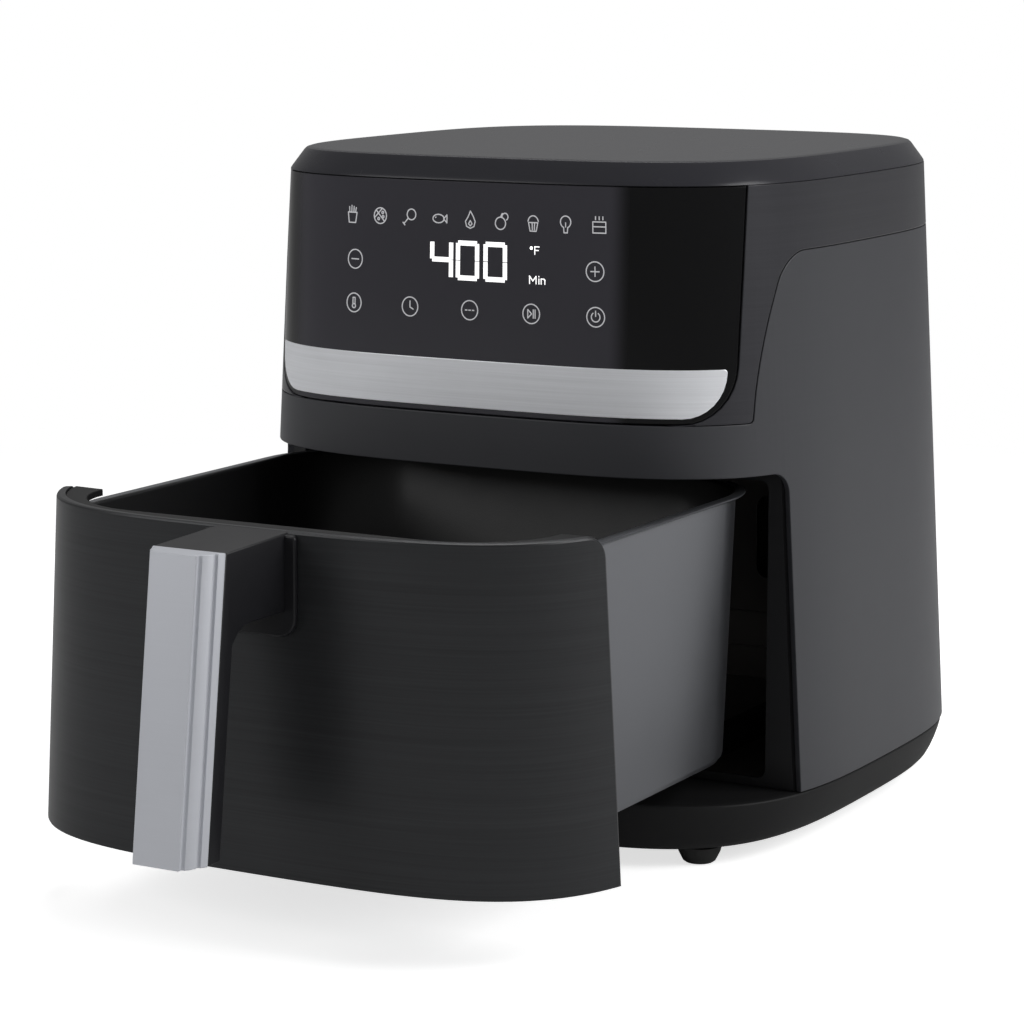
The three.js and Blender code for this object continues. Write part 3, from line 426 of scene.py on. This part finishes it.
lid = lofted([
    body_level(0.2885, 0.003), body_level(0.2902, 0.003), body_level(0.2902, 0.0001),
    body_level(0.2908, 0.0003), body_level(0.2918, 0.0009), body_level(0.2986, 0.0053),
    body_level(0.2995, 0.0062), body_level(0.29995, 0.0076), body_level(0.3000, 0.0090),
    body_level(0.3000, 0.0100)], body_count, (False, True))
finished(lid, "top_cover_lid", "housing", lid_finish, ["top_cover"], sharp=24)


# The control panel: one gloss black moulding bent to the front. A lighter band over most of its
# width is a painted reflection of a soft lamp, laid into its colour. It sits flush in the window
# of the top cover.
# The second colour is the lighter grey of the painted reflection.
black, reflection_grey = (0.0045, 0.0045, 0.005, 1), (0.0500, 0.0485, 0.0580, 1)


def panel_finish():
    made, start = new_material("gloss_panel")
    place = start.node("ShaderNodeTexCoord", output="Object")
    x = start.node("ShaderNodeSeparateXYZ", inputs={0: place})

    def rising(low, high):
        return start.node("ShaderNodeMapRange", {"interpolation_type": "SMOOTHSTEP"}, {
            "Value": x, "From Min": low, "From Max": high, "To Min": 0.0, "To Max": 1.0})

    # Painted reflection: lighter grey over the whole height, from the left end to past the right
    # buttons, standing in for a soft lamp mirrored in the gloss.
    painted_reflection = rising(-0.102, -0.088) * (1 - rising(0.064, 0.074))
    base = start.node(
        "ShaderNodeMix", {"data_type": "RGBA"}, {0: painted_reflection, 6: black, 7: reflection_grey}, output=2)
    smears = start.node(
        "ShaderNodeTexNoise", inputs={"Vector": place, "Scale": 26.0, "Detail": 4.0})
    surface = start.node("ShaderNodeBsdfPrincipled", inputs={
        "Base Color": base, "Roughness": smears * 0.05 + 0.10, "Specular IOR Level": 0.22})
    start.node("ShaderNodeOutputMaterial", inputs={"Surface": surface})
    return made


fascia_half, fascia_foot, fascia_top, fascia_curve = 0.1127, 0.1911, 0.2897, 0.0237
fascia_sunk = 0.0002
fascia_edge = [
    (0, fascia_foot), (run_at_x(fascia_half, 0.19), fascia_foot, fascia_curve),
    (run_at_x(fascia_half, shoulder), fascia_top), (0, fascia_top)]
fascia = bend_round_body(sheet_mesh(fascia_edge, fascia_sunk, plastic_wall, soft_edge))
finished(fascia, "control_panel", "housing", panel_finish(), ["control_fascia"])


# The trim band: a thin strip of brushed aluminium pressed into the foot of the panel, with
# its lower corners swept up in a wide curve.
band_finish = finish(
    "brushed_aluminium", (0.90, 0.915, 0.95), 0.34, metallic=0.28, brushing=0.2, tint=0.05,
    bump=0.03, grain=700)
band_half, band_foot, band_head, band_thick = 0.110, 0.1934, 0.214, 0.0013
band_edge = [
    (0, band_foot), (run_at_x(band_half, 0.194), band_foot, 0.0191),
    (run_at_x(band_half, band_head), band_head, 0.0015), (0, band_head)]
band = bend_round_body(sheet_mesh(band_edge, 0.0, band_thick, 0.0003))
finished(band, "trim_strip", "housing", band_finish, ["trim_band"])


# The marks of the panel: printed icons and rings, whose ink is given a faint painted glow, and
# the lit figures of the display. Each is a thin flat line a tenth of a millimetre thick, laid on
# the panel.
mark_raise, mark_sink = 0.0001, 0.00025


def line(mesh, start, end, width):
    """A flat bar from start to end, both in millimetres across and up."""
    (x0, z0), (x1, z1) = start, end
    length = math.hypot(x1 - x0, z1 - z0)
    along = ((x1 - x0) / length * width / 2, (z1 - z0) / length * width / 2)
    side = (-along[1], along[0])
    corners = [
        (x0 - along[0] * 0.6 + side[0], z0 - along[1] * 0.6 + side[1]),
        (x1 + along[0] * 0.6 + side[0], z1 + along[1] * 0.6 + side[1]),
        (x1 + along[0] * 0.6 - side[0], z1 + along[1] * 0.6 - side[1]),
        (x0 - along[0] * 0.6 - side[0], z0 - along[1] * 0.6 - side[1])]
    mesh.faces.new([mesh.verts.new((x / 1000, mark_raise, z / 1000)) for x, z in corners])


def arc(radius, first=0, last=360, steps=20, squash=1.0, at=(0, 0)):
    turns = [math.radians(first + (last - first) * step / steps) for step in range(steps + 1)]
    return [(at[0] + radius * math.cos(a), at[1] + radius * squash * math.sin(a)) for a in turns]


def marks(name, drawings, colour, strength):
    """Each drawing is a centre, a chain of places round it and the width of its line."""
    mesh = bmesh.new()
    for centre, places, width in drawings:
        points = [(centre[0] + x, centre[1] + z) for x, z in places]
        for first, last in zip(points, points[1:]):
            line(mesh, first, last, width)
    thickened(mesh, (0, mark_sink - mark_raise, 0))
    made, start = new_material(name + "_ink")
    place = start.node("ShaderNodeTexCoord", output="Object")
    patchy = start.node(
        "ShaderNodeTexNoise", inputs={"Vector": place, "Scale": 300.0, "Detail": 1.0})
    surface = start.node("ShaderNodeBsdfPrincipled", inputs={
        "Base Color": (*colour, 1), "Roughness": 0.5, "Emission Strength": strength,
        "Emission Color": tinted(start, colour, patchy * 0.25 + 0.87)})
    start.node("ShaderNodeOutputMaterial", inputs={"Surface": surface})
    finished(bend_round_body(mesh), name, "housing", made, ["control_fascia"])


icon_first, icon_pitch, icon_level, ring_radius = -63.6, 15.9, 273.6, 4.1
icon_width, unit_width, bar_width = 0.5, 0.45, 2.1
icons = [
    [[(-2.6, 0.8), (-1.9, -3.6), (1.9, -3.6), (2.6, 0.8), (-2.6, 0.8)],
     [(-1.7, 0.8), (-1.9, 3.2)], [(-0.5, 0.8), (-0.5, 3.8)], [(0.7, 0.8), (0.8, 3.4)],
     [(1.7, 0.8), (2.1, 2.9)]],
    [arc(3.4), [(-2.4, 2.4), (2.4, -2.4)], [(-3.1, -0.9), (0.9, 3.1)], arc(0.5, at=(1.3, 1.4)),
     arc(0.5, at=(-0.9, -1.3)), arc(0.5, at=(1.5, -0.4))],
    [arc(2.3, at=(1.0, 1.2)), [(-0.7, -0.5), (-2.9, -2.8)], [(-3.5, -2.3), (-2.4, -3.4)]],
    [arc(2.9, squash=0.62, at=(-0.6, 0)), [(2.1, 0), (3.8, 1.7), (3.8, -1.7), (2.1, 0)],
     [(-2.2, 0.4), (-1.9, 0.6)]],
    [[(0, 3.8), (1.5, 1.6), (2.5, -0.6), (1.9, -2.7), (0, -3.5), (-1.9, -2.7), (-2.5, -0.6),
      (-1.2, 1.2), (0, 3.8)], [(0, -0.2), (0.9, -1.6), (0, -2.5), (-0.9, -1.6), (0, -0.2)]],
    [arc(2.6, at=(-0.5, -0.8)), arc(1.5, at=(1.8, 2.0), first=-60, last=200),
     [(-0.5, 1.8), (0.4, 3.4)]],
    [[(-2.3, 0.1), (-1.5, -3.5), (1.5, -3.5), (2.3, 0.1), (-2.3, 0.1)],
     arc(2.6, 10, 170, 12, 1.1, (0, 0.1)), [(-0.5, -0.3), (-0.4, -3.0)],
     [(0.7, -0.3), (0.6, -3.0)]],
    [arc(2.5, -60, 240, 18, at=(0, 0.9)), [(-1.0, -1.3), (-0.8, -3.6), (0.8, -3.6), (1.0, -1.3)],
     [(0, -1.2), (0, 0.6)]],
    [[(-3.0, -3.2), (3.0, -3.2), (3.0, 1.4), (-3.0, 1.4), (-3.0, -3.2)],
     [(-3.0, -0.6), (3.0, -0.6)],
     [(-1.7, 2.3), (-1.7, 3.6)], [(0, 2.3), (0, 3.6)], [(1.7, 2.3), (1.7, 3.6)]]]
printed = []
for number, icon in enumerate(icons):
    for places in icon:
        printed.append(((icon_first + icon_pitch * number, icon_level), places, icon_width))
buttons = {
    (-61.4, 254.3): [[(-2.0, 0), (2.0, 0)]],
    (61.4, 254.3): [[(-2.0, 0), (2.0, 0)], [(0, -2.0), (0, 2.0)]],
    (-61.5, 235.3): [arc(0.9, at=(0, -1.4)), [(-0.6, -0.6), (-0.6, 2.2), (0.6, 2.2), (0.6, -0.6)]],
    (-30.8, 235.3): [[(0, 2.4), (0, -0.2), (1.7, -1.1)]],
    (0, 235.3): [[(-2.2, 0), (-1.3, 0)], [(-0.45, 0), (0.45, 0)], [(1.3, 0), (2.2, 0)]],
    (30.8, 235.3): [[(-1.7, 1.8), (0.2, 0), (-1.7, -1.8), (-1.7, 1.8)], [(1.0, 1.8), (1.0, -1.8)],
                    [(1.9, 1.8), (1.9, -1.8)]],
    (61.5, 235.3): [arc(2.0, 125, 415, 16), [(0, 0.3), (0, 2.6)]]}
for centre, places in buttons.items():
    for drawing in [arc(ring_radius, steps=32)] + places:
        printed.append((centre, drawing, icon_width))
# The printed icons glow at strength 0.42: painted light that brightens their ink.
marks("panel_icons", printed, (0.50, 0.50, 0.52), 0.42)

segments = {
    "top": [(-4.2, 7.4), (4.2, 7.4)], "middle": [(-4.2, 0), (4.2, 0)],
    "bottom": [(-4.2, -7.4), (4.2, -7.4)], "upper_left": [(-4.9, 6.7), (-4.9, 0.8)],
    "upper_right": [(4.9, 6.7), (4.9, 0.8)], "lower_left": [(-4.9, -0.8), (-4.9, -6.7)],
    "lower_right": [(4.9, -0.8), (4.9, -6.7)]}
four = ["upper_left", "upper_right", "middle", "lower_right"]
nought = ["top", "bottom", "upper_left", "upper_right", "lower_left", "lower_right"]
figures = []
figure_level = 256.3
for across, bars in ((-14.65, four), (-1.3, nought), (12.8, nought)):
    figures += [((across, figure_level), segments[bar], bar_width) for bar in bars]
units = {
    (30.9, 263.0): [arc(0.5, steps=10)],
    (33.6, 262.0): [[(1.2, 1.6), (-1.0, 1.6), (-1.0, -1.6)], [(-1.0, 0.1), (0.8, 0.1)]],
    (31.6, 249.6): [[(-1.6, -1.6), (-1.6, 1.6), (0, -0.4), (1.6, 1.6), (1.6, -1.6)]],
    (34.6, 249.6): [[(0, -1.6), (0, 0.6)], [(0, 1.4), (0, 1.7)]],
    (36.6, 249.6): [[(-0.9, -1.6), (-0.9, 0.6), (0.5, 0.6), (0.9, 0.1), (0.9, -1.6)]]}
for centre, places in units.items():
    figures += [(centre, drawing, unit_width) for drawing in places]
marks("display_figures", figures, (0.95, 0.95, 0.95), 1.0)


# The base pan: a matt black tray that closes the foot of the body. Its side draws in towards
# the floor, and its front is decked over under the open drawer.
base_finish = finish(
    "base_plastic", (0.008, 0.008, 0.0085), 0.6, tint=0.1, grain=1100, bump=0.03, gloss=0.25)


def pan_level(z, half_wide, half_deep):
    def place(index, count):
        x, y = bowed(*on_plan((index / count * 2 - 1) * half_round), half_wide, half_deep)
        return x, y + body_middle, z
    return place


pan = lofted([
    pan_level(0.0080, 0.1245, 0.1295), pan_level(0.0080, 0.1265, 0.1315),
    pan_level(0.0083, 0.1287, 0.1333), pan_level(0.0093, 0.1308, 0.1344),
    pan_level(0.0113, 0.1327, 0.1350),
    pan_level(0.0148, 0.1347, 0.1354), pan_level(0.0190, 0.1366, 0.1356),
    pan_level(0.0230, 0.1381, 0.1357), pan_level(0.0265, 0.1391, 0.1358),
    pan_level(0.0279, 0.1393, 0.1358), pan_level(0.0285, 0.1390, 0.1356),
    pan_level(0.0290, 0.1380, 0.1346), pan_level(0.0290, 0.1360, 0.1326)], body_count,
    (True, True))
finished(pan, "base_tray", "housing", base_finish, ["base_pan"], sharp=30)


# The feet: four short rubber studs pushed into the base, with a soft edge where they stand.
rubber_finish = finish(
    "foot_rubber", (0.009, 0.009, 0.009), 0.75, tint=0.12, grain=1500, bump=0.05)


def round_level(x, y, z, radius):
    def place(index, count):
        turned = index / count * 2 * math.pi
        return x + radius * math.cos(turned), y + radius * math.sin(turned), z
    return place


foot_profile = [
    (0.0, 0.50), (0.0002, 0.62), (0.0009, 0.72), (0.0024, 0.80), (0.0048, 0.92)]
for foot_node in ("foot_front_left", "foot_front_right", "foot_rear_left", "foot_rear_right"):
    low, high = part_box(foot_node)
    x, y, radius = (low.x + high.x) / 2, (low.y + high.y) / 2, (high.x - low.x) / 2
    levels = [round_level(x, y, low.z + rise, radius * share) for rise, share in foot_profile]
    foot = lofted(levels + [round_level(x, y, high.z, radius)], 32, (True, True))
    finished(foot, foot_node + "_rubber", "housing", rubber_finish, [foot_node], 35)


# The drawer front: a curved moulding in brushed near-black plastic that wraps round to the
# sides of the body. Its top rear corners are rounded.
travel = 0.167
front_finish = finish(
    "brushed_front", (0.027, 0.028, 0.030), 0.36, metallic=0.3, brushing=0.55, tint=0.04,
    bump=0.02, gloss=0.3)
front_foot, front_head, front_rear, front_lip = 0.030, 0.1673, -0.0806, 0.0009
front_edge = [
    (0, front_foot), (run_at_y(front_rear, front_foot), front_foot),
    (run_at_y(front_rear, front_head), front_head, wing_curve), (0, front_head)]
front = bend_round_body(sheet_mesh(front_edge, 0.0, plastic_wall, front_lip), travel)
finished(front, "drawer_face", "drawer", front_finish, ["drawer_front"])


# The deck of the drawer: the flat top of its black plastic liner, behind the drawer front. It
# covers the front corners of the basket's rim and ends in a step on each wing.
deck_high, deck_thick, deck_half, deck_curve = 0.1665, 0.0028, 0.1078, 0.041
deck_front, deck_rear, deck_inset = -0.11900, -0.0822, 0.0031
deck_reach = run_at_y(deck_rear, deck_high) - 0.0008
deck = bmesh.new()
deck_steps = 40
rim_points = [
    around(deck_reach * step / deck_steps, deck_high, deck_inset)
    for step in range(-deck_steps, deck_steps + 1)]
rim_points += [
    (deck_half, deck_rear), (deck_half, deck_front), (-deck_half, deck_front),
    (-deck_half, deck_rear)]
deck_verts = [
    deck.verts.new((x, y + body_middle - travel, deck_high)) for x, y in rim_points]
deck.faces.new(deck_verts)
for corner in deck_verts[-3:-1]:
    bmesh.ops.bevel(
        deck, geom=[corner], offset=deck_curve, offset_type="OFFSET", segments=14,
        profile=0.5, affect="VERTICES", material=-1)
thickened(deck, (0, 0, -deck_thick))
bmesh.ops.recalc_face_normals(deck, faces=deck.faces)
deck_edge = 0.0005
top_edges = [
    edge for edge in deck.edges if all(vert.co.z > deck_high - deck_edge for vert in edge.verts)]
bmesh.ops.bevel(
    deck, geom=top_edges, offset=deck_edge, segments=2, profile=0.5, affect="EDGES", material=-1)
finished(deck, "drawer_deck", "drawer", base_finish, sharp=20)


# The basket: a pressed steel pan with a dark coating, a rolled flange round its rim on three
# sides and a step near its floor. Its rear corners are widely rounded.
coated_finish = finish(
    "coated_steel", (0.170, 0.175, 0.19), 0.32, metallic=0.92, tint=0.04, grain=1300, bump=0.012)
basket_wide, basket_front, basket_rear = 0.1124, -0.1677, 0.0482
basket_high, basket_low = 0.161, 0.044
draft, front_draft, rear_bend, front_bend = 0.0035, 0.0004, 0.045, 0.040


def basket_level(z, inset):
    share = (basket_high - z) / (basket_high - basket_low)
    wide = basket_wide - inset - draft * share
    near = max(basket_front + inset + front_draft * share, basket_front)
    far = basket_rear - inset - draft * share
    bends = [
        (wide, far, rear_bend - inset), (-wide, far, rear_bend - inset),
        (-wide, near, front_bend - inset), (wide, near, front_bend - inset)]

    def place(index, count):
        side, step = divmod(index, count // 4)
        x, y, radius = bends[side]
        turned = math.pi / 2 * (side + step / (count // 4 - 1))
        return (x - math.copysign(radius, x) + radius * math.cos(turned),
                y + (-radius if side < 2 else radius) + radius * math.sin(turned), z)
    return place


basket = lofted([
    basket_level(0.0440, 0.0060), basket_level(0.0442, 0.0030), basket_level(0.0450, 0.0016),
    basket_level(0.0466, 0.0012), basket_level(0.0470, 0.0002), basket_level(0.0478, 0.0),
    basket_level(0.1570, 0.0), basket_level(0.1588, -0.0002), basket_level(0.1597, -0.0012),
    basket_level(0.1598, -0.0034), basket_level(0.1603, -0.0040), basket_level(0.1608, -0.0038),
    basket_level(0.1610, -0.0032), basket_level(0.1610, 0.0004), basket_level(0.1606, 0.0011),
    basket_level(0.1595, 0.0015), basket_level(0.0500, 0.0015), basket_level(0.0468, 0.0026),
    basket_level(0.0456, 0.0050), basket_level(0.0455, 0.0120)], 64, (True, True), 13)
pan_piece = finished(
    basket, "basket_pan", "drawer", coated_finish, ["basket"], sharp=40)
pan_piece.data.materials.append(finish(
    "nonstick_black", (0.010, 0.010, 0.0105), 0.34, tint=0.1, mottle=80, grain=1300, bump=0.03,
    gloss=0.4))


# The handle: a black arm that runs out from a flange on the drawer front and turns down into
# the grip, with a satin silver cap clipped over its face. Arm and cap are both mouldings.
grip_finish = finish(
    "grip_plastic", (0.010, 0.010, 0.012), 0.44, tint=0.1, grain=1200, bump=0.02, gloss=0.28)
cap_finish = finish(
    "satin_silver", (0.565, 0.58, 0.625), 0.48, metallic=0.15, brushing=0.03, tint=0.03,
    grain=1500, bump=0.008)
grip_half, grip_low, grip_high, arm_under, cap_deep = 0.0165, 0.0488, 0.1658, 0.1363, 0.0105
lean, stem_deep, face_head, root_y, arm_high = 0.129, 0.0085, -0.18559, -0.1822, 0.1672


def face_at(z):
    return face_head - lean * (front_head - z) + body_middle - travel


def edge_at(z):
    return face_at(z) + cap_deep


def rear_at(z):
    return edge_at(z) + stem_deep


side_view = [
    (root_y, arm_high), (edge_at(grip_high), grip_high), (edge_at(grip_low), grip_low),
    (rear_at(grip_low), grip_low), (rear_at(arm_under - 0.011), arm_under - 0.011),
    (rear_at(arm_under - 0.011) + 0.0006, arm_under - 0.0065),
    (rear_at(arm_under) + 0.0030, arm_under - 0.0026),
    (rear_at(arm_under) + 0.0066, arm_under - 0.0006), (rear_at(arm_under) + 0.011, arm_under),
    (root_y, arm_under)]
grip = bmesh.new()
grip.faces.new([grip.verts.new((-grip_half, y, z)) for y, z in side_view])
thickened(grip, (2 * grip_half, 0, 0))
bmesh.ops.recalc_face_normals(grip, faces=grip.faces)
corners = [
    edge for edge in grip.edges
    if abs(edge.verts[0].co.x - edge.verts[1].co.x) < 1e-6
    and not all(vert.co.y > root_y - 0.0008 for vert in edge.verts)]
bmesh.ops.bevel(
    grip, geom=corners, offset=0.0010, segments=3, profile=0.5, affect="EDGES", material=-1)
finished(grip, "handle_arm", "drawer", grip_finish, ["handle_grip"], sharp=35)

flange_half, flange_low, flange_high, flange_proud = 0.021, 0.1263, 0.1663, 0.0026
flange_edge = [
    (0, flange_low), (flange_half, flange_low, 0.008), (flange_half, flange_high, 0.002),
    (0, flange_high)]
flange = bend_round_body(
    sheet_mesh(flange_edge, -flange_proud, soft_edge, front_lip), travel)
finished(flange, "handle_root", "drawer", grip_finish, ["handle_grip"])

cap_section = [
    (0.0, 0.0), (0.0102, 0.0), (0.0106, 0.0003), (0.0104, 0.0018), (0.0108, 0.0021),
    (0.0118, 0.0022), (0.0128, 0.0034), (0.0137, 0.0052), (0.0140, 0.0064), (0.0138, 0.0076),
    (0.0142, 0.0079), (0.0151, 0.0078), (0.0161, 0.0097), (0.0165, 0.0104), (0.0163, 0.0105)]
outline = [(-x, y) for x, y in reversed(cap_section[1:])] + cap_section
cap = bmesh.new()
cap.faces.new([cap.verts.new((x, y, 0)) for x, y in outline])
thickened(cap, (0, 0, 1))
bmesh.ops.recalc_face_normals(cap, faces=cap.faces)
for vert in cap.verts:
    z = grip_high if vert.co.z > 0.5 else grip_low
    vert.co = (vert.co.x, vert.co.y + face_at(z), z)
ends = [edge for edge in cap.edges if abs(edge.verts[0].co.z - edge.verts[1].co.z) < 1e-6]
bmesh.ops.bevel(
    cap, geom=ends, offset=0.00035, segments=2, profile=0.5, affect="EDGES", material=-1)
finished(cap, "handle_face", "drawer", cap_finish, ["handle_cap"], sharp=22)


# The parts behind the skin: the bay and its chamber, the liner, the heater, fans and boards.
# They keep the shapes of the frame and take finishes of sheet steel, plastic and board.
steel_finish = finish(
    "plain_steel", (0.42, 0.42, 0.41), 0.32, metallic=1.0, tint=0.12, mottle=120, grain=900,
    bump=0.02)
bay_finish = finish(
    "bay_plastic", (0.012, 0.012, 0.013), 0.5, tint=0.1, grain=1200, bump=0.03, gloss=0.25)
chamber_finish = finish(
    "chamber_steel", (0.050, 0.045, 0.042), 0.42, metallic=0.4, tint=0.25, mottle=40, grain=900,
    bump=0.03)
board_finish = finish(
    "board_green", (0.012, 0.09, 0.03), 0.5, tint=0.3, mottle=200, grain=1500, bump=0.03)
silicone_finish = finish(
    "silicone_grey", (0.03, 0.03, 0.032), 0.8, tint=0.1, grain=1500, bump=0.04)
inner_finishes = {
    "bay_frame": bay_finish, "cooking_chamber": chamber_finish, "slide_rail": base_finish,
    "rear_vent": base_finish, "cord_gland": rubber_finish, "fascia_carrier": base_finish,
    "drawer_switch": base_finish, "drawer_liner": base_finish, "thermal_cutout": base_finish,
    "cooling_fan": base_finish, "control_board": board_finish, "power_board": board_finish,
    "crisper_plate": pan_piece.data.materials[1], "crisper_foot": silicone_finish,
    "switch_plunger": silicone_finish}
for node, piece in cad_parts.items():
    named = [inner_finishes[stem] for stem in inner_finishes if node.startswith(stem)]
    chosen = named[0] if named else steel_finish
    for index in range(len(piece.data.materials)):
        piece.data.materials[index] = chosen
